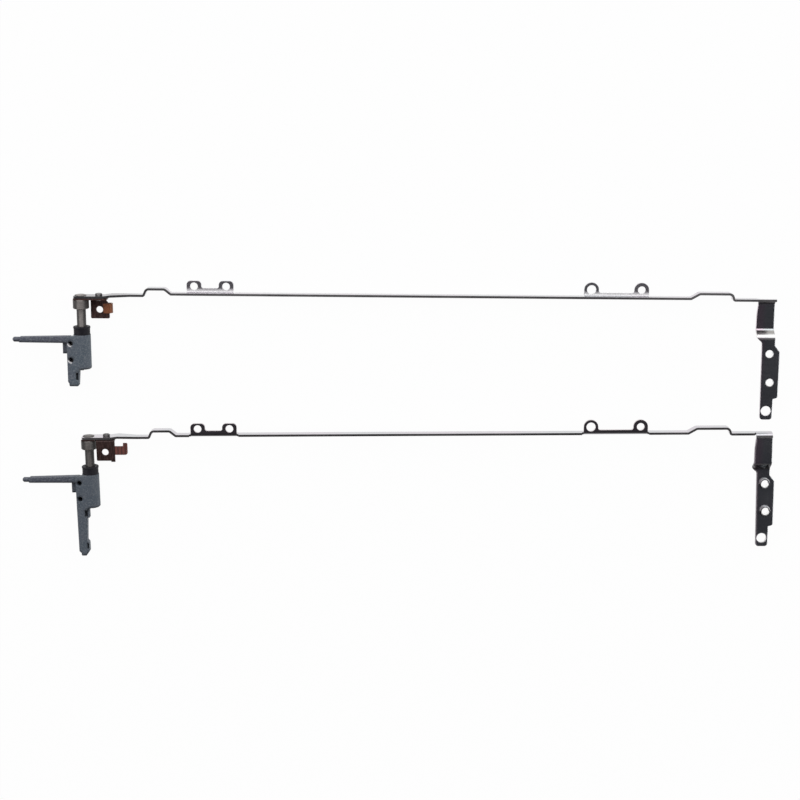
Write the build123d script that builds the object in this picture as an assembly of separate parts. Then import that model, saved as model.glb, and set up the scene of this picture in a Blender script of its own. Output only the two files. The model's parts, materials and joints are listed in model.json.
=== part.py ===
from build123d import *
import os

# A pair of friction hinges for a notebook screen. All sizes are in mm.
# Each hinge is drawn in its own frame: the shaft axis is the Y axis, the screen rail runs along +X,
# y = 0 lies at the hinge end of the rail, and +Z is the side of the left hinge that faces up.
# The right hinge is the left one mirrored in Z, with its own foot and clip tongue.

# Pair
axis_height = 2.8
pair_pitch = 47.35
left_lay_deg = -0.5
right_lay_deg = 0.3
right_shift_x = 0.5

# Screen rail: one strip of sheet steel on edge
rail_sheet = 0.75
rail_height = 3.0
rail_length = 229.1
rail_x0 = -2.1
rail_x1 = rail_x0 + rail_length
rail_bend = 0.9
run_y = 0.45
seat_y = -0.45
seat_x1 = 7.4
lead_x = 9.8
lead_y = -0.55
hump_a = (20.7, 21.6, 27.2, 29.2)
hump_a_rise = 1.62
hump_b_back = (27.9, 25.1, 14.8, 14.2)
hump_b_rise = 1.6
end_y = -0.4
eye_half = 2.35
eye_x1 = 9.4
eye_taper_x = 16.0
eye_corner = 0.7

# Ears folded from the rail's edge
ear_bend = 0.6
ear_a_x = (36.7, 47.2)
ear_a_top = 4.2
ear_a_width = 4.8
ear_a_corner = 1.3
ear_a_web = 1.75
ear_b_back = (60.3, 43.9)
ear_b_top = 4.75
ear_b_width = 4.8
ear_b_web = 1.35
ear_b_corner = 2.35
ear_fillet = 0.7
ear_hole_y = 2.4
ear_hole_r = 1.25
locating_hole_r = 1.5
relief_width = 0.5
relief_height = 0.9

# Stepped arm at the far end of the rail
arm_width = 5.5
arm_step = 2.8
step_y = (-10.6, -12.9)
arm_end_y = -40.1
arm_lobe = 0.3
arm_inset = 1.3
arm_toe = 0.7
arm_bend = 1.0
arm_edge_inset = 0.1
arm_slope = 0.4
arm_wide = (1.9, 2.1)
arm_tail = 0.6
arm_neck = 0.25
arm_wide_y = (-17.3, -32.7)
arm_slant = 2.1
arm_end_corner = 1.0
arm_wide_corner = 0.8
arm_lobe_sweep = 4.0
arm_waist_sweep = 1.2
arm_hole_y = (-17.9, -27.5, -37.1)
arm_hole_back = (1.5, 0.9, 1.6)
arm_screw_r = 1.25
arm_peg_r = 1.6
burr_wall = 0.4
burr_height = 1.0

# Turned shaft
shaft_r = 1.5
tenon_flat = 2.3
collar_r = 2.6
collar_y1 = -4.4
shaft_y1 = -23.2
head_r = 1.9
head_height = 0.3
turned_chamfer = 0.2

# Reach of a cutting shape past the piece it cuts
cut_margin = 3.0

# Clearances
running_clearance = 0.04
seat_clearance = 0.02

# Cable clip
clip_sheet = 0.5
clip_bend = 0.35
clip_half_height = 2.3
clip_x0 = -2.1
clip_flange_x1 = 8.8
clip_relief = 0.4
plate_cut = 1.3
plate_corner = 0.4
plate_x = (2.8, 8.9)
plate_y1 = -8.0
plate_hole = (5.7, -5.05)
plate_hole_r = 1.1
tongue_left_y = (-2.8, -5.95)
tongue_left_x = (7.3, 10.2)
tongue_right_y = (-3.1, -6.0)
tongue_right_x1 = 13.1
tongue_right_hook_x = 11.7
tongue_right_hook_y = -2.0
lug_x0 = 7.6
lug_drop = 0.4
fold_gap = 1.5

# Tubular rivet of the cable clip
rivet_x = 5.9
rivet_r = 0.8
rivet_hollow_r = 0.45
rivet_head_r = 1.3
rivet_head = 0.4
rivet_roll_r = 1.15
rivet_roll = 0.7

# Bush round the shaft
bush_y = (-10.3, -13.0)
bush_r = 2.65
bush_lip_r = 2.78
bush_lip = 0.55
bush_mouth = 0.3
spigot_r = 1.95
spigot_length = 2.0

# Die-cast base bracket: its plate is level with the crown of the barrel on the side that faces up
barrel_r = axis_height
barrel_y1 = -24.4
barrel_floor = 0.8
barrel_end_chamfer = 0.35
plate_x0 = -4.6
plate_top = 2.77
plate_thick = 2.4
plate_edge_y = -13.4
arm_tip_x = -22.4
arm_nose_x = -20.2
cast_arm_y = (-13.3, -15.5)
cast_nose_y = (-13.7, -15.4)
cast_arm_drop = 0.2
cast_arm_thick = 2.3
peg_r = 0.82
block_x0 = -6.3
block_y1 = -19.3
block_top = 0.9
block_thick = 2.0
tap_x = -3.4
tap_y = (-15.7, -21.2)
tap_r = 0.8
tap_depth = 4.2
tap_chamfer = 0.15
boss_r = 1.2
boss_end = -1.9
left_foot = (
    (-0.8, -23.4),
    (-0.9, -26.0),
    (-1.2, -29.9),
    (-4.2, -29.9),
    (-4.2, -29.0),
    (plate_x0, -28.4),
)
left_slot = (-1.55, -26.6)
left_slot_size = (2.5, 0.75)
left_rib_x = (-1.5, 0.2)
right_foot = (
    (-0.8, -23.4),
    (-1.2, -25.0),
    (-1.7, -35.6),
    (-1.1, -36.4),
    (-1.1, -39.4),
    (-2.2, -40.9),
    (-3.8, -40.9),
    (-3.8, -40.0),
    (-4.5, -39.3),
)
right_slot = (-1.5, -37.5)
right_slot_size = (2.0, 0.5)
right_pocket_x = (-2.1, -1.15)
right_pocket_y = (-25.1, -27.3)
right_pocket_depth = 1.7
right_rib_x = -0.6
right_rib_y1 = -27.7
right_rib_drop = 0.4
rib_lap = 0.5
slot_depth = 1.0
foot_corner = 0.4
key_width = 1.0
key_depth = 0.4

# Friction clips curled round the shaft inside the barrel
clip_count = 5
friction_pitch = 1.66
friction_gap = 0.06
friction_slot = 0.7
friction_toe_gap = 0.05


def prism(sketch, z0, z1):
    """A plan outline raised from z0 to z1."""
    return extrude(Pos(0, 0, z0) * sketch, amount=z1 - z0, dir=(0, 0, 1))


def outline(*points):
    """A flat face with straight sides in plan."""
    return make_face(Polyline(*points, close=True).edges())


def block(x0, x1, y0, y1, z0, z1):
    """A square-edged block between its limits."""
    size = (abs(x1 - x0), abs(y1 - y0), abs(z1 - z0))
    return Pos((x0 + x1) / 2, (y0 + y1) / 2, (z0 + z1) / 2) * Box(*size)


def post(x, y, r, z0, z1):
    """An upright round post, or the shape of a hole."""
    return Pos(x, y, (z0 + z1) / 2) * Cylinder(r, abs(z1 - z0))


def turned(*profile):
    """A body of revolution about the shaft axis, from (radius, y) points."""
    return revolve(outline(*profile), Axis.Y)


def barrel_round(r, y0, y1, x=0, z=0):
    """A round bar along the shaft's direction."""
    return Pos(x, (y0 + y1) / 2, z) * Rot(90, 0, 0) * Cylinder(r, abs(y1 - y0))


def rounded(sketch, radius, *near):
    """The same outline with the corners nearest to the given points rounded."""
    corners = []
    for point in near:
        corners.append(min(sketch.vertices(), key=lambda v: (Vector(v) - Vector(*point)).length))
    return fillet(corners, radius)


def folded(points, radius, sheet, left):
    """The section of a bent sheet: a face line with rounded bends, thickened to one side."""
    line = FilletPolyline(*points, radius=radius)
    side = Side.LEFT if left else Side.RIGHT
    return make_face(line.wire().offset_2d(sheet, side=side).edges())


def from_far_end(distances):
    """Places along the rail, from their distances to its far end."""
    return tuple(rail_x1 - distance for distance in distances)


hump_b = from_far_end(hump_b_back)
ear_b_x = from_far_end(ear_b_back)
arm_hole_x = from_far_end(arm_hole_back)
arm_x0 = rail_x1 - arm_width
rail_low = -axis_height
rail_top = rail_low + rail_height
rail_front = seat_y - rail_sheet / 2
rail_back = seat_y + rail_sheet / 2
clip_front = rail_front - clip_sheet


def tenon(extra, y0, y1):
    """The flatted end of the shaft, or the hole for it."""
    flats = block(-shaft_r - 1, shaft_r + 1, y0, y1, -tenon_flat / 2 - extra, tenon_flat / 2 + extra)
    return barrel_round(shaft_r + extra, y0, y1) & flats


def rail_strip():
    """The strip on edge: humped in plan, with a tall eye at the hinge end."""
    half = rail_sheet / 2
    points = (
        (rail_x0, seat_y - run_y - half),
        (seat_x1, seat_y - run_y - half),
        (lead_x, lead_y - half),
        (hump_a[0], lead_y - half),
        (hump_a[1], hump_a_rise - half),
        (hump_a[2], hump_a_rise - half),
        (hump_a[3], -half),
        (hump_b[0], -half),
        (hump_b[1], hump_b_rise - half),
        (hump_b[2], hump_b_rise - half),
        (hump_b[3], end_y - half),
        (rail_x1, end_y - half),
    )
    strip = prism(folded(points, rail_bend, rail_sheet, True), rail_low, axis_height)
    side = outline(
        (rail_x0, -eye_half),
        (eye_x1, -eye_half),
        (eye_taper_x, rail_low),
        (rail_x1, rail_low),
        (rail_x1, rail_top),
        (eye_taper_x, rail_top),
        (eye_x1, eye_half),
        (rail_x0, eye_half),
    )
    side = rounded(side, eye_corner, (rail_x0, -eye_half), (rail_x0, eye_half), (eye_x1, eye_half))
    side = rounded(side, 2 * eye_corner, (eye_taper_x, rail_top))
    cutter = extrude(Rot(90, 0, 0) * side, amount=rail_height + cut_margin, both=True)
    return strip & cutter


def ear_fold(x0, x1, reach):
    """The strip with its lower edge bent over towards +Y, between two ends."""
    half = rail_sheet / 2
    section = folded(
        ((-half, rail_top), (-half, rail_low), (reach, rail_low)),
        rail_sheet + ear_bend,
        rail_sheet,
        True,
    )
    return Pos(x0, 0, 0) * extrude(Plane.YZ * section, amount=x1 - x0)


def ear_outline(centres, width, top, web, corner):
    """Two holed lobes on a shared web, in plan."""
    x0 = centres[0] - width / 2
    x1 = centres[-1] + width / 2
    shape = outline((x0, -1), (x1, -1), (x1, web), (x0, web))
    for x in centres:
        lobe = outline((x - width / 2, -1), (x + width / 2, -1), (x + width / 2, top), (x - width / 2, top))
        shape = shape + rounded(lobe, corner, (x - width / 2, top), (x + width / 2, top))
    roots = ((centres[0] + width / 2, web), (centres[1] - width / 2, web))
    return rounded(shape, ear_fillet, *roots), x0, x1


def ears(rail, centres, width, top, web, corner, radii):
    """Replace a length of plain strip by one with a pair of ears."""
    shape, x0, x1 = ear_outline(centres, width, top, web, corner)
    gap = block(x0, x1, -cut_margin, cut_margin, rail_low - cut_margin, rail_top + cut_margin)
    fold = ear_fold(x0, x1, top + cut_margin) & prism(shape, rail_low, rail_top)
    rail = (rail - gap) + fold
    for x, r in zip(centres, radii):
        rail = rail - post(x, ear_hole_y, r, rail_low - cut_margin, rail_top)
    for x in (x0 - relief_width, x1):
        slit = (x, x + relief_width, -cut_margin, cut_margin)
        rail = rail - block(*slit, rail_low - cut_margin, rail_low + relief_height)
    return rail


def stepped_arm():
    """The flat arm bent from the strip's lower edge, stepped up to the lid's other level."""
    back = end_y + rail_sheet / 2
    section = folded(
        (
            (back, rail_top),
            (back, rail_low),
            (step_y[0], rail_low),
            (step_y[1], rail_low + arm_step),
            (arm_end_y - cut_margin, rail_low + arm_step),
        ),
        rail_sheet + arm_bend,
        rail_sheet,
        False,
    )
    bent = extrude(Plane.YZ * section, amount=arm_width + 2 * cut_margin)
    bent = Pos(arm_x0 - cut_margin, 0, 0) * bent
    left = arm_x0 + arm_inset
    lobe = arm_x0 - arm_lobe
    edge = rail_x1 - arm_edge_inset
    wide_top = (edge + arm_wide[0], arm_wide_y[0])
    wide_end = (edge + arm_wide[1], arm_wide_y[1])
    neck = (edge + arm_neck, arm_wide_y[0] + arm_slant)
    tail = (edge + arm_tail, arm_end_y)
    toe = (left + arm_toe, arm_end_y)
    waist = (left, step_y[1] - arm_inset)
    swell = (lobe, step_y[1] + arm_edge_inset)
    sweep = (lobe, step_y[0] / 2)
    plan = outline(
        (arm_x0, back + 1),
        (rail_x1, back + 1),
        (rail_x1, -2 * rail_sheet),
        (edge, -2 * rail_sheet - arm_edge_inset),
        neck,
        wide_top,
        wide_end,
        (edge + arm_tail, arm_wide_y[1] - arm_slope),
        tail,
        toe,
        waist,
        swell,
        sweep,
        (arm_x0, -2 * rail_sheet - arm_slope),
    )
    plan = rounded(plan, arm_end_corner, tail, toe)
    plan = rounded(plan, arm_wide_corner, wide_top, neck, wide_end)
    plan = rounded(plan, arm_waist_sweep, waist, swell)
    plan = rounded(plan, arm_lobe_sweep, sweep)
    arm = bent & prism(plan, rail_low, axis_height + cut_margin)
    level = rail_low + arm_step
    for x, y in zip(arm_hole_x[:2], arm_hole_y[:2]):
        arm = arm + post(x, y, arm_screw_r + burr_wall, level - burr_height, level + rail_sheet / 2)
        arm = arm - post(x, y, arm_screw_r, level - cut_margin, level + cut_margin)
    return arm - post(arm_hole_x[2], arm_hole_y[2], arm_peg_r, level - cut_margin, level + cut_margin)


def screen_rail():
    """The whole folded rail, drawn about its long straight run and then set at the hinge."""
    rail = rail_strip()
    rail = ears(rail, ear_a_x, ear_a_width, ear_a_top, ear_a_web, ear_a_corner, (ear_hole_r, ear_hole_r))
    rail = ears(rail, ear_b_x, ear_b_width, ear_b_top, ear_b_web, ear_b_corner, (locating_hole_r, ear_hole_r))
    far_end = (arm_x0, rail_x1 + cut_margin, -cut_margin, cut_margin)
    rail = rail - block(*far_end, rail_low - cut_margin, axis_height + cut_margin)
    rail = rail + stepped_arm()
    slit = (arm_x0 - relief_width, arm_x0, end_y - rail_sheet, cut_margin)
    rail = rail - block(*slit, rail_low - cut_margin, rail_low + relief_height)
    rail = Pos(0, run_y, 0) * rail
    rail = rail - tenon(seat_clearance, rail_front - 1, rail_back + 1)
    return rail - barrel_round(rivet_r + seat_clearance, rail_front - 1, rail_back + 1, rivet_x)


def hinge_shaft():
    c = turned_chamfer
    body = turned(
        (0, clip_front),
        (collar_r - c, clip_front),
        (collar_r, clip_front - c),
        (collar_r, collar_y1 + c),
        (collar_r - c, collar_y1),
        (shaft_r, collar_y1),
        (shaft_r, shaft_y1 + 2 * c),
        (shaft_r - 2 * c, shaft_y1),
        (0, shaft_y1),
    )
    head = turned(
        (0, rail_back),
        (head_r, rail_back),
        (head_r, rail_back + head_height * 0.35),
        (head_r * 0.7, rail_back + head_height),
        (0, rail_back + head_height),
    )
    return body + tenon(0, clip_front, rail_back) + head


def cable_clip(folded_tongue):
    """A bent bronze strip: a tall flange under the collar, and a holed plate with a tongue."""
    low = -clip_half_height
    section = folded(
        ((rail_front, clip_half_height), (rail_front, low), (plate_y1, low)),
        clip_sheet + clip_bend,
        clip_sheet,
        False,
    )
    bent = Pos(plate_x[0], 0, 0) * extrude(Plane.YZ * section, amount=plate_x[1] - plate_x[0])
    cut_x = plate_x[1] - (plate_cut if folded_tongue else 0)
    upper = low + clip_sheet + clip_bend + clip_relief
    corner = outline(
        (plate_x[0], rail_front + 1),
        (cut_x, rail_front + 1),
        (cut_x, clip_front - clip_bend),
        (plate_x[1], tongue_left_y[0] - clip_relief),
        (plate_x[1], plate_y1),
        (plate_x[0], plate_y1),
    )
    corner = rounded(corner, plate_corner, (plate_x[1], plate_y1), (plate_x[0], plate_y1))
    clip = bent & prism(corner, low, upper)
    flange = block(clip_x0, clip_flange_x1, clip_front, rail_front, low, clip_half_height)
    relief_x = (plate_x[0] - clip_relief, plate_x[1] + 1)
    flange = flange - block(*relief_x, clip_front - 1, rail_front + 1, low - 1, upper)
    clip = clip + flange
    z = low + clip_sheet
    if folded_tongue:
        r = fold_gap / 2 + clip_sheet
        x = tongue_left_x[1] - r
        ring = Circle(r) - Circle(r - clip_sheet)
        half = ring & (Pos(r, 0) * Rectangle(2 * r, 2 * r))
        start = plate_x[1] - clip_relief
        flat = Pos((start - x) / 2, (clip_sheet - 2 * r) / 2) * Rectangle(abs(x - start), clip_sheet)
        back = x - tongue_left_x[0]
        over = Pos(-back / 2, r - clip_sheet / 2) * Rectangle(back, clip_sheet)
        path = half + over + flat
        plane = Plane(origin=(x, tongue_left_y[0], low + r), x_dir=(1, 0, 0), z_dir=(0, -1, 0))
        clip = clip + extrude(plane * path, amount=tongue_left_y[0] - tongue_left_y[1])
    else:
        y0, y1 = tongue_right_y
        hook = tongue_right_hook_x
        tongue = outline(
            (plate_x[1] - clip_relief, y0),
            (hook, y0),
            (hook, tongue_right_hook_y),
            (tongue_right_x1, tongue_right_hook_y),
            (tongue_right_x1, y1),
            (plate_x[1] - clip_relief, y1),
        )
        tongue = rounded(tongue, 2 * plate_corner, (tongue_right_x1, y1))
        tongue = rounded(tongue, plate_corner, (tongue_right_x1, tongue_right_hook_y), (hook, y0))
        clip = clip + prism(tongue, low, z)
        clip = clip + block(lug_x0, plate_x[1], plate_y1 + 1, plate_y1 - lug_drop, low, z)
    clip = clip - post(*plate_hole, plate_hole_r, low - 1, z + 1)
    clip = clip - tenon(seat_clearance, clip_front - 1, rail_front + 1)
    return clip - barrel_round(rivet_r + seat_clearance, clip_front - 1, rail_front + 1, rivet_x)


def clip_rivet():
    """A tubular rivet: a flat head on the flange and a rolled head on the rail."""
    edge = turned_chamfer
    rivet = turned(
        (0, clip_front - rivet_head),
        (rivet_head_r - edge, clip_front - rivet_head),
        (rivet_head_r, clip_front - rivet_head + edge),
        (rivet_head_r, clip_front),
        (rivet_r, clip_front),
        (rivet_r, rail_back),
        (rivet_roll_r, rail_back),
        (rivet_roll_r, rail_back + rivet_roll - edge),
        (rivet_roll_r - edge, rail_back + rivet_roll),
        (rivet_hollow_r + edge, rail_back + rivet_roll),
        (rivet_hollow_r, rail_back + rivet_roll - edge),
        (rivet_hollow_r, clip_front),
        (0, clip_front),
    )
    return Pos(rivet_x, 0, 0) * rivet


def shaft_bush():
    bore = shaft_r + running_clearance
    y0, y1 = bush_y
    return turned(
        (bore + bush_mouth, y0),
        (bush_lip_r - turned_chamfer / 2, y0),
        (bush_lip_r, y0 - turned_chamfer / 2),
        (bush_lip_r, y0 - bush_lip),
        (bush_r, y0 - bush_lip - turned_chamfer),
        (bush_r, y1),
        (spigot_r - seat_clearance, y1),
        (spigot_r - seat_clearance, y1 - spigot_length),
        (bore, y1 - spigot_length),
        (bore, y0 - bush_mouth),
    )


def level(up, depth, thick):
    """The lower and upper limits of a layer that starts at a height on the bracket's upper side."""
    return sorted((up * depth, up * (depth - thick)))


def base_bracket(up, foot_plan, foot_cuts, foot_rib):
    """The die-cast bracket: barrel, plate, locating arm and foot. up is the side with the flat plate."""
    top = bush_y[1]
    barrel = barrel_round(barrel_r, top, barrel_y1)
    ends = barrel.edges().filter_by(GeomType.CIRCLE).sort_by(Axis.Y)
    body = chamfer(ends[0], barrel_end_chamfer)
    plate = outline((plate_x0, plate_edge_y), (0, plate_edge_y), (0, barrel_y1), (plate_x0, barrel_y1))
    body = body + prism(plate, *level(up, plate_top, plate_thick))
    body = body + prism(foot_plan, *level(up, plate_top, plate_thick))
    body = body + foot_rib
    arm = outline(
        (plate_x0 + 1, cast_arm_y[0]),
        (arm_nose_x, cast_nose_y[0]),
        (arm_nose_x, cast_nose_y[1]),
        (plate_x0 + 1, cast_arm_y[1]),
    )
    arm = rounded(arm, 0.3, (arm_nose_x, cast_nose_y[0]), (arm_nose_x, cast_nose_y[1]))
    body = body + prism(arm, *level(up, plate_top - cast_arm_drop, cast_arm_thick))
    peg_y = (cast_nose_y[0] + cast_nose_y[1]) / 2
    peg_z = up * (plate_top - cast_arm_drop - cast_arm_thick / 2)
    peg = Rot(0, 90, 0) * Cylinder(peg_r, arm_nose_x - arm_tip_x + 1)
    peg = chamfer(peg.edges().filter_by(GeomType.CIRCLE).sort_by(Axis.X)[0], peg_r / 2)
    body = body + Pos((arm_tip_x + arm_nose_x + 1) / 2, peg_y, peg_z) * peg
    lug_y0 = cast_arm_y[1] + rib_lap
    body = body + block(block_x0, plate_x0 + rib_lap, lug_y0, block_y1, *level(up, block_top, block_thick))
    for y in tap_y:
        body = body + post(tap_x, y, boss_r, up * boss_end, up * (plate_top - plate_thick))
    for cut in foot_cuts:
        body = body - cut
    mouth_end = plate_top - tap_chamfer
    mouth = outline((0, plate_top), (tap_r + tap_chamfer, plate_top), (tap_r, mouth_end), (0, mouth_end))
    mouth = Rot(up * 90, 0, 0) * revolve(mouth, Axis.Y)
    for y in tap_y:
        body = body - post(tap_x, y, tap_r, up * (plate_top - tap_depth), up * (axis_height + 1))
        body = body - Pos(tap_x, y, 0) * mouth
    floor = barrel_y1 + barrel_floor
    body = body - barrel_round(spigot_r, top + 1, floor)
    key_x = spigot_r + key_depth
    return body - block(0, key_x, top - spigot_length, floor, -key_width / 2, key_width / 2)


def left_bracket():
    """The bracket with the short foot."""
    up = 1
    plan = outline((plate_x0, left_foot[0][1]), *left_foot)
    plan = rounded(plan, foot_corner, left_foot[2], left_foot[3])
    slot = Pos(*left_slot) * SlotOverall(*left_slot_size, rotation=90)
    cut = prism(slot, *level(up, plate_top + 1, slot_depth + 1))
    rib = block(*left_rib_x, barrel_y1 + rib_lap, barrel_y1 - rib_lap, *level(up, block_top, block_thick))
    return base_bracket(up, plan, (cut,), rib)


def right_bracket():
    """The bracket with the long foot and its lobe."""
    up = -1
    plan = outline((plate_x0, right_foot[0][1]), *right_foot)
    plan = rounded(plan, foot_corner, right_foot[6], right_foot[3])
    slot = Pos(*right_slot) * SlotOverall(*right_slot_size, rotation=90)
    cut = prism(slot, *level(up, plate_top + 1, slot_depth + 1))
    rib_y = (barrel_y1 + rib_lap, right_rib_y1)
    rib_top = plate_top - right_rib_drop
    rib = block(right_pocket_x[0], right_rib_x, *rib_y, *level(up, rib_top, plate_thick - right_rib_drop))
    pocket = block(*right_pocket_x, *right_pocket_y, *level(up, plate_top + 1, right_pocket_depth + 1))
    return base_bracket(up, plan, (cut, pocket), rib)


def friction_clip(index):
    """One curled spring clip: it grips the shaft, and its toe sits in the barrel's keyway."""
    y0 = bush_y[1] - spigot_length - friction_gap - index * friction_pitch
    y1 = y0 - friction_pitch + friction_gap
    outer = spigot_r - seat_clearance
    ring = barrel_round(outer, y0, y1)
    toe_half = key_width / 2 - seat_clearance
    toe_x = spigot_r + key_depth - friction_toe_gap
    ring = ring + block(shaft_r, toe_x, y0, y1, -toe_half, toe_half)
    ring = ring - barrel_round(shaft_r + running_clearance, y0 + 1, y1 - 1)
    split = block(0, outer + 1, y0 + 1, y1 - 1, 0, friction_slot)
    return ring - Rot(0, 45, 0) * split


def one_hinge(bracket, folded_tongue):
    """All pieces of a hinge in its own frame, by name."""
    pieces = {
        "screen_rail": screen_rail(),
        "hinge_shaft": hinge_shaft(),
        "cable_clip": cable_clip(folded_tongue),
        "clip_rivet": clip_rivet(),
        "shaft_bush": shaft_bush(),
        "base_bracket": bracket,
    }
    for i in range(clip_count):
        pieces[f"friction_clip_{i + 1}"] = friction_clip(i)
    return pieces


def lay(piece, turn_deg, x, y):
    """A piece of one hinge at its place in the pair."""
    return Pos(x, y, 0) * Rot(0, 0, turn_deg) * piece


parts = {}
for name, piece in one_hinge(left_bracket(), True).items():
    parts["left_" + name] = lay(piece, left_lay_deg, 0, pair_pitch / 2)
for name, piece in one_hinge(right_bracket(), False).items():
    flipped = mirror(piece, about=Plane.XY)
    parts["right_" + name] = lay(flipped, right_lay_deg, right_shift_x, -pair_pitch / 2)

box = Compound(children=[piece.solid() for piece in parts.values()]).bounding_box()
origin = Vector(box.center().X, box.center().Y, box.min.Z)

os.makedirs("parts", exist_ok=True)
for name in parts:
    parts[name] = Pos(-origin.X, -origin.Y, -origin.Z) * parts[name]
    export_step(parts[name], f"parts/{name}.step")
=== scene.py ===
import json
import math

import bpy
from mathutils import Matrix, Vector

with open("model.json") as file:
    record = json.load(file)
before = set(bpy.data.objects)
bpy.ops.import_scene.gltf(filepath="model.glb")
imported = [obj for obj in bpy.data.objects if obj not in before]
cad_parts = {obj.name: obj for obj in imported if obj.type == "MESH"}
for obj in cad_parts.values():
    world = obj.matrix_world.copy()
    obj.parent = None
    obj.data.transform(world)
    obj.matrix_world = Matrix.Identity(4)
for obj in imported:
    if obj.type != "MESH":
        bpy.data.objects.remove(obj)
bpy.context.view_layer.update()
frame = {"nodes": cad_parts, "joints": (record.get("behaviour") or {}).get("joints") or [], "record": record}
nodes = frame["nodes"]
joints = {joint["name"]: joint for joint in frame["joints"]}

MM = 0.001

# Places on a hinge, in mm: along its rail, across it and up from its shaft
BUSH_TO_RAIL = 10.3  # from the joint's own point on the shaft to the line of the rail
EARS_ALONG = (31.5, 190.5)
NEAR_EARS_ALONG, FAR_EARS_ALONG = (34.2, 49.75), (164.2, 185.65)
ARM_ALONG = 221.5
ARM_BEND = (-1.3, -0.6)
LEFT_SLOPE, LEFT_CREST, LEFT_SHADE = (-11.1, -10.1), (-12.1, -11.1), (-12.8, -12.1)
RIGHT_STEP = (-12.7, -10.15)
SCREW_HOLES = ((225.5, -17.9), (226.1, -27.5))
SCREW_HOLE_R, SCREW_LIP_R = 1.25, 1.68
PEG_HOLE, PEG_HOLE_R = (225.4, -37.1), 1.6
ARM_HOLES = [(hole, SCREW_HOLE_R) for hole in SCREW_HOLES] + [(PEG_HOLE, PEG_HOLE_R)]
TAPPED_HOLES = ((-3.4, -15.7), (-3.4, -21.2))

# Colours that are used more than once or are one of a pair
PLATING = ((0.60, 0.615, 0.63, 1), (0.67, 0.615, 0.665, 1))
ARM_TINTS = ((0.70, 0.54, 0.63, 1), (0.56, 0.62, 0.62, 1))
# Sheared-edge colours: partly a dull sheared edge, partly painted shade standing for the dark overhead that the
# edge would mirror, darker on the right rail
SHEARED_TONES = {
    "left": ((0.062, 0.058, 0.062, 1), (0.125, 0.12, 0.122, 1)),
    "right": ((0.026, 0.023, 0.025, 1), (0.070, 0.066, 0.068, 1)),
}
DARKER_PATCH = (0.20, 0.19, 0.20, 1)
WHITE = (1, 1, 1, 1)


# Node building

def feed(tree, socket, value):
    """A link or a value for one input."""
    if isinstance(value, bpy.types.NodeSocket):
        tree.links.new(value, socket)
    else:
        socket.default_value = value


def add(tree, kind, inputs=None, **settings):
    """A node of a kind, with its settings, and a value or a link for each input named."""
    node = tree.nodes.new(kind)
    for key, value in settings.items():
        setattr(node, key, value)
    for key, value in (inputs or {}).items():
        feed(tree, node.inputs[key], value)
    return node


def sums(tree, operation, a, b=0.0, c=0.0, clamp=False):
    """One step of arithmetic."""
    return add(tree, "ShaderNodeMath", {0: a, 1: b, 2: c}, operation=operation, use_clamp=clamp).outputs[0]


def times(tree, a, b):
    return sums(tree, "MULTIPLY", a, b)


def either(tree, a, b):
    """The stronger of two masks."""
    return sums(tree, "MAXIMUM", a, b)


def without(tree, mask):
    """Where a mask is not."""
    return sums(tree, "SUBTRACT", 1.0, mask)


def part_of(tree, vector, axis):
    """One coordinate of a vector."""
    return add(tree, "ShaderNodeSeparateXYZ", {0: vector}).outputs[axis]


def ramp(tree, value, low, high, to_low=0.0, to_high=1.0):
    """A value spread from one range to another, with soft ends."""
    settings = {"Value": value, "From Min": low, "From Max": high, "To Min": to_low, "To Max": to_high}
    return add(tree, "ShaderNodeMapRange", settings, interpolation_type="SMOOTHSTEP").outputs[0]


def band(tree, value, limits, soft=0.25):
    """One between two limits, fading a little on each side of them."""
    low, high = limits
    rise = ramp(tree, value, low - soft, low + soft)
    return times(tree, rise, ramp(tree, value, high + soft, high - soft))


def blend(tree, factor, a, b):
    """One colour laid over another by a mask."""
    node = add(tree, "ShaderNodeMix", data_type="RGBA")
    for index, value in ((0, factor), (6, a), (7, b)):
        feed(tree, node.inputs[index], value)
    return node.outputs[2]


def layered(tree, colour, *layers):
    """A colour with others laid over it in turn, each by its own mask."""
    for mask, tone in layers:
        colour = blend(tree, mask, colour, tone)
    return colour


def toned(colour, share):
    """A colour made darker or lighter."""
    return tuple(share * value for value in colour[:3]) + (1,)


# Groups that several finishes share

def new_group(name, inputs, outputs):
    """An empty shader group with named sockets."""
    tree = bpy.data.node_groups.new(name, "ShaderNodeTree")
    for label, kind, value in inputs:
        socket = tree.interface.new_socket(label, in_out="INPUT", socket_type="NodeSocket" + kind)
        socket.default_value = value
    for label, kind in outputs:
        tree.interface.new_socket(label, in_out="OUTPUT", socket_type="NodeSocket" + kind)
    return tree, tree.nodes.new("NodeGroupInput").outputs, tree.nodes.new("NodeGroupOutput").inputs


def use(tree, group, **inputs):
    """A group placed in a material, its inputs written with _ for a space."""
    node = add(tree, "ShaderNodeGroup", node_tree=group)
    for key, value in inputs.items():
        feed(tree, node.inputs[key.replace("_", " ")], value)
    return node.outputs


def rubbed_edge_group():
    """Where handling has rubbed an edge bright, broken up by fine noise."""
    tree, entry, out = new_group(
        "rubbed edge",
        [("Width", "Float", 0.2 * MM), ("Strength", "Float", 4.0), ("Breaks", "Float", 900.0)],
        [("Mask", "Float")],
    )
    soft = add(tree, "ShaderNodeBevel", {"Radius": entry["Width"]}, samples=6).outputs[0]
    true = add(tree, "ShaderNodeNewGeometry").outputs["Normal"]
    alike = add(tree, "ShaderNodeVectorMath", {0: soft, 1: true}, operation="DOT_PRODUCT").outputs["Value"]
    turned = sums(tree, "SUBTRACT", 1.0, alike, clamp=True)
    place = add(tree, "ShaderNodeTexCoord").outputs["Object"]
    settings = {"Vector": place, "Scale": entry["Breaks"], "Detail": 3.0}
    noise = add(tree, "ShaderNodeTexNoise", settings).outputs[0]
    broken = ramp(tree, noise, 0.3, 0.6, 0.45, 1.0)
    mask = times(tree, turned, entry["Strength"])
    tree.links.new(sums(tree, "MULTIPLY", mask, broken, clamp=True), out["Mask"])
    return tree


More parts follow.
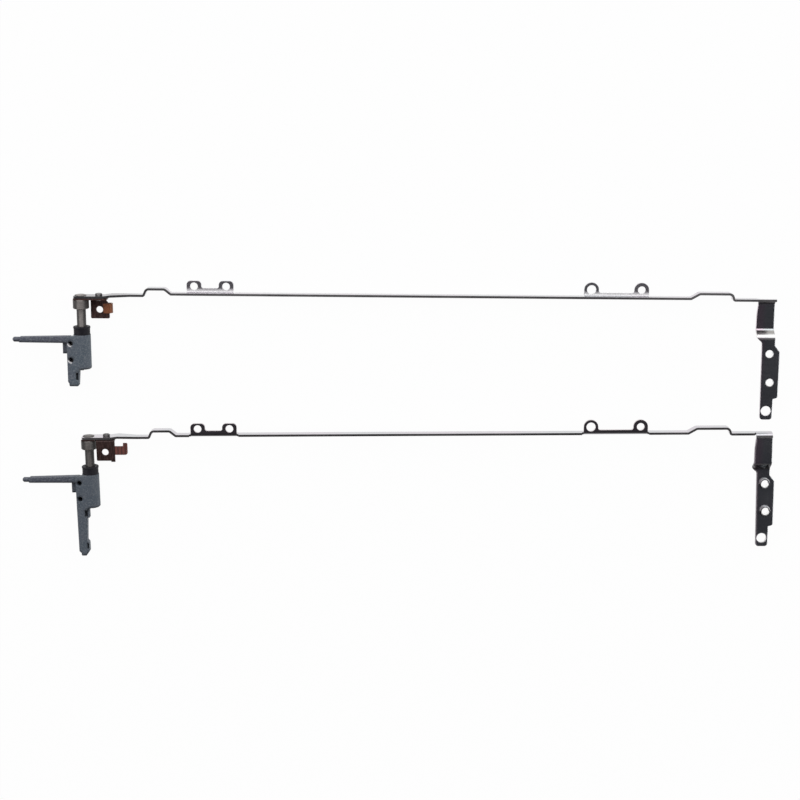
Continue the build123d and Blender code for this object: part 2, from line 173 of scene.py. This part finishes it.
def grain_group():
    """Fine grain, drawn out along the way the surface was made, with slow cloudy changes and specks."""
    tree, entry, out = new_group(
        "grain",
        [("Stretch", "Vector", (1.0, 1.0, 1.0)), ("Fine", "Float", 4000.0), ("Clouds", "Float", 120.0)],
        [("Grain", "Float"), ("Cloud", "Float"), ("Speck", "Float")],
    )
    place = add(tree, "ShaderNodeTexCoord").outputs["Object"]
    drawn = add(tree, "ShaderNodeVectorMath", {0: place, 1: entry["Stretch"]}, operation="MULTIPLY").outputs[0]
    settings = {"Vector": drawn, "Scale": entry["Fine"], "Detail": 4.0, "Roughness": 0.6}
    fine = add(tree, "ShaderNodeTexNoise", settings).outputs[0]
    settings = {"Vector": place, "Scale": entry["Clouds"], "Detail": 3.0}
    cloud = add(tree, "ShaderNodeTexNoise", settings).outputs[0]
    settings = {"Vector": drawn, "Scale": entry["Fine"]}
    speck = add(tree, "ShaderNodeTexVoronoi", settings).outputs["Distance"]
    tree.links.new(fine, out["Grain"])
    tree.links.new(ramp(tree, cloud, 0.3, 0.7), out["Cloud"])
    tree.links.new(ramp(tree, speck, 0.05, 0.35, 1.0, 0.0), out["Speck"])
    return tree


def rolled_edge_group():
    """The way a surface faces once its sharp edges are rounded over."""
    tree, entry, out = new_group("rolled edge", [("Radius", "Float", 0.1 * MM)], [("Normal", "Vector")])
    soft = add(tree, "ShaderNodeBevel", {"Radius": entry["Radius"]}, samples=6)
    tree.links.new(soft.outputs[0], out["Normal"])
    return tree


def hinge_place_group():
    """Where a point lies on its hinge: along the rail, across it and up from the shaft, in mm."""
    tree, entry, out = new_group(
        "place on the hinge",
        [("Shaft", "Vector", (0, 0, 0)), ("Along", "Vector", (1, 0, 0)), ("Across", "Vector", (0, 1, 0))],
        [("Along", "Float"), ("Across", "Float"), ("Up", "Float")],
    )
    place = add(tree, "ShaderNodeTexCoord").outputs["Object"]
    offset = add(tree, "ShaderNodeVectorMath", {0: place, 1: entry["Shaft"]}, operation="SUBTRACT").outputs[0]
    scaled = add(tree, "ShaderNodeVectorMath", {0: offset, "Scale": 1 / MM}, operation="SCALE").outputs[0]
    for label in ("Along", "Across"):
        dot = add(tree, "ShaderNodeVectorMath", {0: scaled, 1: entry[label]}, operation="DOT_PRODUCT")
        tree.links.new(dot.outputs["Value"], out[label])
    tree.links.new(part_of(tree, scaled, "Z"), out["Up"])
    return tree


def hole_place_group():
    """Where a point lies from a hole: its two offsets, and how far it is from the hole's axis, in mm."""
    labels = ("Along", "Across")
    inputs = labels + tuple("Hole " + label for label in labels)
    tree, entry, out = new_group(
        "place round a hole",
        [(label, "Float", 0.0) for label in inputs],
        [(label, "Float") for label in labels + ("Reach",)],
    )
    right, up = (sums(tree, "SUBTRACT", entry[label], entry["Hole " + label]) for label in labels)
    square = sums(tree, "MULTIPLY_ADD", right, right, times(tree, up, up))
    for value, label in ((right, "Along"), (up, "Across"), (sums(tree, "POWER", square, 0.5), "Reach")):
        tree.links.new(value, out[label])
    return tree


def lower_hinge_group():
    """One on the hinge that lies lower in the photograph, none on the other."""
    tree, _, out = new_group("lower of the pair", [], [("Mask", "Float")])
    place = add(tree, "ShaderNodeTexCoord").outputs["Object"]
    tree.links.new(ramp(tree, part_of(tree, place, "Y"), 4 * MM, -4 * MM), out["Mask"])
    return tree


rubbed_edge = rubbed_edge_group()
rolled_edge = rolled_edge_group()
grain = grain_group()
hinge_place = hinge_place_group()
hole_place = hole_place_group()
lower_hinge = lower_hinge_group()


def on_hinge(tree, side):
    """The place of a point on the left or the right hinge."""
    joint = joints[side + "_screen_turn"]
    axis = Vector(joint["axis"])
    across = axis if axis.y > 0 else -axis
    along = Vector((across.y, -across.x, 0))
    shaft = Vector(joint["pos_m"]) + across * BUSH_TO_RAIL * MM
    return use(tree, hinge_place, Shaft=shaft, Along=along, Across=across)


def from_hole(tree, spot, hole):
    """The place of a point on a hinge, measured from a hole."""
    point = {"Along": spot["Along"], "Across": spot["Across"]}
    return use(tree, hole_place, Hole_Along=hole[0], Hole_Across=hole[1], **point)


# Finishes

def finish(name):
    """A fresh material, with its tree and its shader."""
    material = bpy.data.materials.new(name)
    material.use_nodes = True
    tree = material.node_tree
    return material, tree, tree.nodes["Principled BSDF"]


def facing(tree, axis):
    """How far a surface faces along an axis, as the piece itself was laid."""
    return part_of(tree, add(tree, "ShaderNodeTexCoord").outputs["Normal"], axis)


def bump(tree, shader, height, distance, strength, edge):
    """Fine relief on a surface whose edges are rounded over."""
    rolled = use(tree, rolled_edge, Radius=edge)["Normal"]
    settings = {"Height": height, "Distance": distance, "Strength": strength, "Normal": rolled}
    tree.links.new(add(tree, "ShaderNodeBump", settings).outputs[0], shader.inputs["Normal"])


def rolled_plating(tree, surface, along, arm):
    """Plating with fine rolling lines, and with a tint of its own on the arm."""
    plating = blend(tree, surface["Cloud"], *PLATING)
    tint = blend(tree, ramp(tree, along, ARM_ALONG + 0.8, ARM_ALONG + 3.2), *ARM_TINTS)
    lines = ramp(tree, surface["Grain"], 0.35, 0.65, 0.0, 0.35)
    return layered(tree, plating, (times(tree, arm, 0.8), tint), (lines, (0.48, 0.455, 0.49, 1)))


def left_rail_marks(tree, spot, plating, ear):
    """Ears painted pale near their fold, as duller plating and a painted reflection; painted light and shade on
    the arm's step; darker inside the arm's bend.
    """
    across = spot["Across"]
    # Painted reflection of the bright wall on the ears near their fold, with duller plating there
    fold = times(tree, ear, ramp(tree, across, 1.0, 2.8, 1.0, 0.0))
    # Painted light and shade on the arm's step: a grey painted reflection on the slope, a painted highlight on
    # the crest and painted shade below it
    slope, crest, shade = (band(tree, across, limits) for limits in (LEFT_SLOPE, LEFT_CREST, LEFT_SHADE))
    # Darker inside the arm's bend
    inside = times(tree, band(tree, across, ARM_BEND), ramp(tree, spot["Up"], -0.5, -1.2))
    colour = layered(
        tree,
        plating,
        (fold, (0.97, 0.96, 0.95, 1)),
        (slope, (0.42, 0.405, 0.39, 1)),
        (crest, (0.93, 0.925, 0.91, 1)),
        (shade, (0.10, 0.095, 0.10, 1)),
        (inside, DARKER_PATCH),
    )
    return colour, either(tree, fold, times(tree, crest, 0.3))


def right_rail_marks(tree, spot, plating, ears, arm):
    """Ears with a warm cast and painted shade at their roots, a painted mauve sheen down the arm's edges that
    face one way, and painted shade on its step.
    """
    along, across = spot["Along"], spot["Across"]
    # Painted reflection: a matt mauve sheen on the arm's edges that face -X
    sideways = part_of(tree, use(tree, rolled_edge, Radius=0.9 * MM)["Normal"], "X")
    rim = times(tree, ramp(tree, sideways, -0.12, -0.4, 0.0, 0.8), arm)
    near_ears = band(tree, along, NEAR_EARS_ALONG, 0.2)
    far_ears = times(tree, band(tree, along, FAR_EARS_ALONG, 0.2), 0.7)
    # Painted shade at the roots of the ears and on the arm's step
    roots = times(tree, ramp(tree, across, 1.3, 0.9), ramp(tree, spot["Up"], 1.7, 2.0))
    roots = times(tree, roots, either(tree, near_ears, far_ears))
    dark = times(tree, either(tree, band(tree, across, RIGHT_STEP), roots), 0.95)
    colour = layered(
        tree,
        plating,
        (ears, (0.60, 0.54, 0.55, 1)),
        (rim, (0.165, 0.135, 0.155, 1)),
        (dark, (0.048, 0.043, 0.047, 1)),
    )
    return colour, rim


def plated_rail(side):
    """Bright nickel-plated strip steel, dull along its sheared edge with painted shade there, and rubbed on its
    corners.
    """
    material, tree, shader = finish(side + " rail plating")
    surface = use(tree, grain, Stretch=(0.05, 1.0, 1.0), Fine=5200.0, Clouds=90.0)
    spot = on_hinge(tree, side)
    along, across = spot["Along"], spot["Across"]
    arm = ramp(tree, across, -1.2, -2.0)
    wear = times(tree, use(tree, rubbed_edge, Width=0.24 * MM, Strength=5.0, Breaks=700.0)["Mask"], arm)
    colour = rolled_plating(tree, surface, along, arm)
    rough = ramp(tree, surface["Grain"], 0.3, 0.7, 0.13, 0.19)
    rough = sums(tree, "ADD", rough, times(tree, surface["Cloud"], 0.04))

    # The strip's sheared edge, clear of the arm and of the ears: dull, and painted dark as painted shade
    upward = sums(tree, "ABSOLUTE", facing(tree, "Z"))
    strip = times(tree, ramp(tree, upward, 0.75, 0.95), ramp(tree, across, -1.3, -1.0))
    ears = times(tree, band(tree, along, EARS_ALONG, 0.5), ramp(tree, across, 0.85, 1.0))
    sheared = times(tree, strip, without(tree, ears))
    edge_tone = blend(tree, surface["Cloud"], *SHEARED_TONES[side])

    # Marks of each rail, painted light and shade among them; the left one's ears are low and duller, and it is
    # darker towards the shaft
    if side == "left":
        low = ramp(tree, spot["Up"], -1.9, -2.1)
        sheared = times(tree, sheared, without(tree, low))
        ear = times(tree, ramp(tree, across, 0.7, 1.1), low)
        rough = sums(tree, "ADD", rough, times(tree, ear, 0.15))
        colour, matt = left_rail_marks(tree, spot, colour, ear)
        # Darker towards the shaft, on the face and on the sheared edge
        darker_toward_shaft = ramp(tree, along, 20.0, 11.0, 0.0, 0.8)
        colour = blend(tree, darker_toward_shaft, colour, DARKER_PATCH)
        edge_tone = blend(tree, darker_toward_shaft, edge_tone, (0.02, 0.02, 0.022, 1))
    else:
        colour, matt = right_rail_marks(tree, spot, colour, ears, arm)

    # Holes of the arm: a near-white painted highlight inside their bores, and darker on the lips round the
    # right arm's screw holes
    for hole, radius in ARM_HOLES:
        reach = from_hole(tree, spot, hole)["Reach"]
        if side == "right" and hole in SCREW_HOLES:
            clear = ramp(tree, reach, SCREW_LIP_R, SCREW_LIP_R + 0.12)
            colour = blend(tree, times(tree, without(tree, clear), 0.85), colour, (0.10, 0.09, 0.095, 1))
            wear = times(tree, wear, clear)
            matt = times(tree, matt, clear)
        # Painted highlight: the bore walls painted near white
        bore = ramp(tree, reach, radius + 0.06, radius + 0.02)
        colour = blend(tree, bore, colour, (0.96, 0.96, 0.95, 1))
    matt = either(tree, either(tree, sheared, matt), times(tree, wear, 0.6))
    colour = layered(tree, colour, (wear, (0.80, 0.76, 0.80, 1)), (sheared, edge_tone))
    tree.links.new(colour, shader.inputs["Base Color"])
    tree.links.new(sums(tree, "ADD", rough, times(tree, matt, 0.3)), shader.inputs["Roughness"])
    tree.links.new(ramp(tree, matt, 0.0, 1.0, 1.0, 0.15), shader.inputs["Metallic"])
    corner = ramp(tree, across, -1.2, -2.2, 0.1 * MM, 0.28 * MM)
    bump(tree, shader, surface["Grain"], 0.002 * MM, 0.4, corner)
    return material


def turned_steel(name, low, high):
    """Turned steel with fine rings round the shaft and a warm cast."""
    material, tree, shader = finish(name)
    surface = use(tree, grain, Stretch=(0.12, 1.0, 0.12), Fine=4200.0, Clouds=160.0)
    wear = use(tree, rubbed_edge, Width=0.15 * MM, Strength=4.0, Breaks=900.0)["Mask"]
    colour = blend(tree, surface["Cloud"], low, high)
    colour = blend(tree, ramp(tree, surface["Grain"], 0.4, 0.62, 0.0, 0.5), colour, toned(low, 0.5))
    colour = blend(tree, times(tree, wear, 0.5), colour, toned(high, 1.6))

    # Painted light and shade: a painted highlight along its top and painted shade down its sides, with less of
    # the highlight and so darker all over on the lower hinge of the pair
    off_top = sums(tree, "ABSOLUTE", sums(tree, "SUBTRACT", facing(tree, "X"), 0.1))
    lower_darkening = times(tree, use(tree, lower_hinge)["Mask"], 0.48)
    lit_top = times(tree, ramp(tree, off_top, 0.15, 0.6, 1.0, 0.12), without(tree, lower_darkening))
    colour = blend(tree, lit_top, toned(low, 0.06), colour)
    tree.links.new(colour, shader.inputs["Base Color"])
    tree.links.new(ramp(tree, surface["Grain"], 0.3, 0.7, 0.4, 0.56), shader.inputs["Roughness"])
    shader.inputs["Metallic"].default_value = 0.3
    bump(tree, shader, surface["Grain"], 0.006 * MM, 0.6, 0.12 * MM)
    return material


def bronze_strip(side, plate, bare):
    """Dark tarnished bronze, with the tongue rubbed back to bare metal."""
    material, tree, shader = finish(side + " clip bronze")
    surface = use(tree, grain, Stretch=(1.0, 0.15, 1.0), Fine=3600.0, Clouds=260.0)
    wear = use(tree, rubbed_edge, Width=0.14 * MM, Strength=4.5, Breaks=800.0)["Mask"]
    spot = on_hinge(tree, side)
    if side == "left":
        tongue = times(tree, ramp(tree, spot["Along"], 6.9, 7.4), ramp(tree, spot["Up"], -1.2, -0.8))
        tongue = either(tree, tongue, ramp(tree, spot["Along"], 8.95, 9.1))
        tongue = times(tree, tongue, ramp(tree, spot["Across"], -1.9, -2.3))
    else:
        tongue = ramp(tree, spot["Along"], 8.8, 9.2)
    dull = blend(tree, surface["Cloud"], plate, toned(plate, 0.6))
    dull = blend(tree, ramp(tree, surface["Grain"], 0.4, 0.7, 0.0, 0.6), dull, toned(plate, 2.2))
    rubbed = blend(tree, surface["Cloud"], bare, toned(bare, 0.55))
    # Stripes of painted light and shade across the right tongue's curled end
    if side == "right":
        curl_light_stripes = sums(tree, "SINE", times(tree, spot["Along"], 5.2))
        rubbed = blend(tree, ramp(tree, curl_light_stripes, -0.2, 1.0, 0.0, 0.7), rubbed, plate)
    colour = blend(tree, tongue, dull, rubbed)
    colour = blend(tree, times(tree, wear, 0.35), colour, toned(bare, 1.3))
    tree.links.new(colour, shader.inputs["Base Color"])
    rough = ramp(tree, surface["Grain"], 0.3, 0.7, 0.34, 0.5)
    tree.links.new(sums(tree, "ADD", rough, times(tree, tongue, 0.1)), shader.inputs["Roughness"])
    tree.links.new(sums(tree, "SUBTRACT", 0.4, times(tree, tongue, 0.2)), shader.inputs["Metallic"])
    bump(tree, shader, surface["Grain"], 0.005 * MM, 0.5, 0.12 * MM)
    return material


def moulded_black():
    """Black nylon with a faint moulded texture and slightly paler rubbed rims."""
    material, tree, shader = finish("bush nylon")
    surface = use(tree, grain, Stretch=(1.0, 1.0, 1.0), Fine=3000.0, Clouds=300.0)
    wear = use(tree, rubbed_edge, Width=0.2 * MM, Strength=2.0, Breaks=600.0)["Mask"]
    colour = blend(tree, surface["Cloud"], (0.014, 0.0135, 0.0175, 1), (0.021, 0.020, 0.025, 1))
    colour = blend(tree, times(tree, wear, 0.3), colour, (0.05, 0.047, 0.055, 1))
    tree.links.new(colour, shader.inputs["Base Color"])
    tree.links.new(ramp(tree, surface["Grain"], 0.3, 0.7, 0.42, 0.6), shader.inputs["Roughness"])
    shader.inputs["Specular IOR Level"].default_value = 0.15
    bump(tree, shader, surface["Grain"], 0.01 * MM, 0.6, 0.15 * MM)
    return material


def cast_paint():
    """Matte blue-grey casting with a purple arm: pitted grain, painted shade in its recesses, and pale rubbed
    corners that are wear and painted highlight.
    """
    material, tree, shader = finish("casting paint")
    surface = use(tree, grain, Stretch=(1.0, 1.0, 1.0), Fine=2000.0, Clouds=170.0)
    wear = use(tree, rubbed_edge, Width=0.22 * MM, Strength=3.0, Breaks=700.0)["Mask"]
    shut_in = add(tree, "ShaderNodeAmbientOcclusion", {"Distance": 1.2 * MM}, samples=8).outputs["AO"]
    spot = on_hinge(tree, "left")
    paint = blend(tree, surface["Cloud"], (0.080, 0.106, 0.133, 1), (0.102, 0.121, 0.150, 1))
    purple = ramp(tree, spot["Along"], -2.0, -7.0, 0.0, 0.8)
    flecks = ramp(tree, surface["Grain"], 0.44, 0.68, 0.0, 0.9)
    pits = times(tree, surface["Speck"], 0.6)
    # Painted shade in recesses, from ambient occlusion
    hollow_shade = ramp(tree, shut_in, 0.2, 0.75, 0.6, 0.0)

    # Painted shade on the edges that face the near side, pale rubbed edges on the far side as wear and painted
    # highlight, darker on the lower hinge
    edge = part_of(tree, use(tree, rolled_edge, Radius=1.7 * MM)["Normal"], "Y")
    near_edge_shade = ramp(tree, edge, -0.06, -0.42, 0.0, 0.85)
    rubbed = times(tree, wear, ramp(tree, edge, 0.0, 0.3, 0.1, 0.5))
    darker = times(tree, use(tree, lower_hinge)["Mask"], 0.16)
    colour = layered(
        tree,
        paint,
        (purple, (0.078, 0.081, 0.115, 1)),
        (flecks, (0.19, 0.206, 0.228, 1)),
        (pits, (0.042, 0.052, 0.064, 1)),
        (near_edge_shade, (0.022, 0.025, 0.032, 1)),
        (darker, (0.006, 0.008, 0.016, 1)),
        (rubbed, (0.24, 0.26, 0.28, 1)),
        (hollow_shade, (0.030, 0.033, 0.040, 1)),
    )

    # Bare metal at the mouth of the left bracket's tapped holes, painted bright only on the side that faces the
    # light, as a painted highlight
    for hole in TAPPED_HOLES:
        offset = from_hole(tree, spot, hole)
        rim = times(tree, ramp(tree, offset["Reach"], 0.55, 0.75), ramp(tree, offset["Reach"], 1.1, 0.95))
        lean = sums(tree, "MULTIPLY_ADD", offset["Along"], -0.6, times(tree, offset["Across"], -0.8))
        bare_lit_side = times(tree, rim, ramp(tree, lean, 0.3, 0.75))
        colour = blend(tree, bare_lit_side, colour, (0.80, 0.79, 0.80, 1))
    tree.links.new(colour, shader.inputs["Base Color"])
    tree.links.new(ramp(tree, surface["Grain"], 0.3, 0.7, 0.5, 0.68), shader.inputs["Roughness"])
    bump(tree, shader, surface["Grain"], 0.05 * MM, 0.8, 0.6 * MM)
    return material


finishes = {
    "left_rail": plated_rail("left"),
    "right_rail": plated_rail("right"),
    "shaft": turned_steel("shaft steel", (0.29, 0.265, 0.25, 1), (0.40, 0.37, 0.35, 1)),
    "rivet": turned_steel("rivet steel", (0.28, 0.268, 0.264, 1), (0.40, 0.388, 0.384, 1)),
    "left_clip": bronze_strip("left", (0.080, 0.042, 0.036, 1), (0.27, 0.090, 0.036, 1)),
    "right_clip": bronze_strip("right", (0.046, 0.024, 0.021, 1), (0.20, 0.068, 0.055, 1)),
    "bush": moulded_black(),
    "bracket": cast_paint(),
    "friction_spring": turned_steel("friction spring steel", (0.30, 0.30, 0.31, 1), (0.38, 0.38, 0.39, 1)),
}
for part in frame["record"]["subparts"]:
    mesh = nodes[part["node"]].data
    mesh.materials.clear()
    mesh.materials.append(finishes[part["material_slot"]])


# Floor, light and camera

def background_seen(tree):
    """One for the camera, and for what metal or glass mirrors or lets through."""
    path = add(tree, "ShaderNodeLightPath").outputs
    return either(tree, path["Is Camera Ray"], either(tree, path["Is Glossy Ray"], path["Is Transmission Ray"]))


def white_floor():
    """A white sweep that keeps a faint shadow."""
    reach, sunk, white_share = 6.0, 0.05 * MM, 0.97
    mesh = bpy.data.meshes.new("floor")
    corners = [(-reach, -reach, 0), (reach, -reach, 0), (reach, reach, 0), (-reach, reach, 0)]
    mesh.from_pydata(corners, [], [(0, 1, 2, 3)])
    floor = bpy.data.objects.new("floor", mesh)
    floor.location.z = -sunk
    bpy.context.scene.collection.objects.link(floor)
    material, tree, shader = finish("floor white")
    shader.inputs["Base Color"].default_value = (0.9, 0.9, 0.9, 1)
    shader.inputs["Roughness"].default_value = 1.0
    shader.inputs["Specular IOR Level"].default_value = 0.0
    glow = add(tree, "ShaderNodeEmission", {"Color": WHITE, "Strength": 1.0})
    share = times(tree, background_seen(tree), white_share)
    mix = add(tree, "ShaderNodeMixShader", {0: share, 1: shader.outputs[0], 2: glow.outputs[0]})
    tree.links.new(mix.outputs[0], tree.nodes["Material Output"].inputs["Surface"])
    mesh.materials.append(material)


def studio_world():
    """A room white at the horizon, pale towards its far side, dark overhead and on the near side."""
    overhead = 0.038
    world = bpy.data.worlds.new("studio room")
    world.use_nodes = True
    tree = world.node_tree
    way = add(tree, "ShaderNodeTexCoord").outputs["Generated"]
    height = part_of(tree, way, "Z")
    wall = ramp(tree, part_of(tree, way, "Y"), -0.4, 0.6, 0.06, 0.55)
    low = ramp(tree, height, 0.2, 0.75, 1.0, 0.0)
    horizon = times(tree, background_seen(tree), ramp(tree, height, 0.12, 0.04))
    looked_at = either(tree, add(tree, "ShaderNodeLightPath").outputs["Is Camera Ray"], horizon)
    back = tree.nodes["Background"]
    shade = sums(tree, "MULTIPLY_ADD", wall, low, overhead)
    tree.links.new(either(tree, shade, looked_at), back.inputs["Strength"])
    tint = blend(tree, either(tree, low, looked_at), (0.99, 0.96, 1.14, 1), WHITE)
    tree.links.new(tint, back.inputs["Color"])
    bpy.context.scene.world = world


def softbox(name, place, size, power):
    """A soft square lamp that faces the middle of the pair."""
    lamp = bpy.data.lights.new(name, "AREA")
    lamp.shape = "RECTANGLE"
    lamp.size, lamp.size_y = size
    lamp.energy = power
    holder = bpy.data.objects.new(name, lamp)
    holder.location = place
    holder.rotation_euler = (-Vector(place)).to_track_quat("-Z", "Y").to_euler()
    bpy.context.scene.collection.objects.link(holder)


def photo_camera():
    """The photograph's view: nearly straight down, leaning over the pair from its far side."""
    lean = math.radians(13.0)
    target = Vector((0.5, 6.2, 0.0)) * MM
    distance = 520.0 * MM
    focal_pixels, photo_pixels = 1563.0, 800
    away = Vector((0.0, math.sin(lean), math.cos(lean)))
    across = Vector((1.0, 0.0, 0.0))
    camera = bpy.data.cameras.new("photo camera")
    camera.sensor_width = 36.0
    camera.lens = camera.sensor_width * focal_pixels / photo_pixels
    camera.clip_start = 0.01
    holder = bpy.data.objects.new("photo camera", camera)
    turn = Matrix((across, away.cross(across), away)).transposed().to_4x4()
    turn.translation = target + away * distance
    holder.matrix_world = turn
    bpy.context.scene.collection.objects.link(holder)
    bpy.context.scene.camera = holder


white_floor()
studio_world()
softbox("far lamp", (0.0, 0.95, 0.8), (3.6, 1.4), 20.0)
softbox("left lamp", (-1.1, -0.1, 0.8), (0.9, 0.9), 4.6)
softbox("right lamp", (1.1, -0.1, 0.8), (0.9, 0.9), 4.6)
photo_camera()
bpy.context.scene.view_settings.view_transform = "Standard"
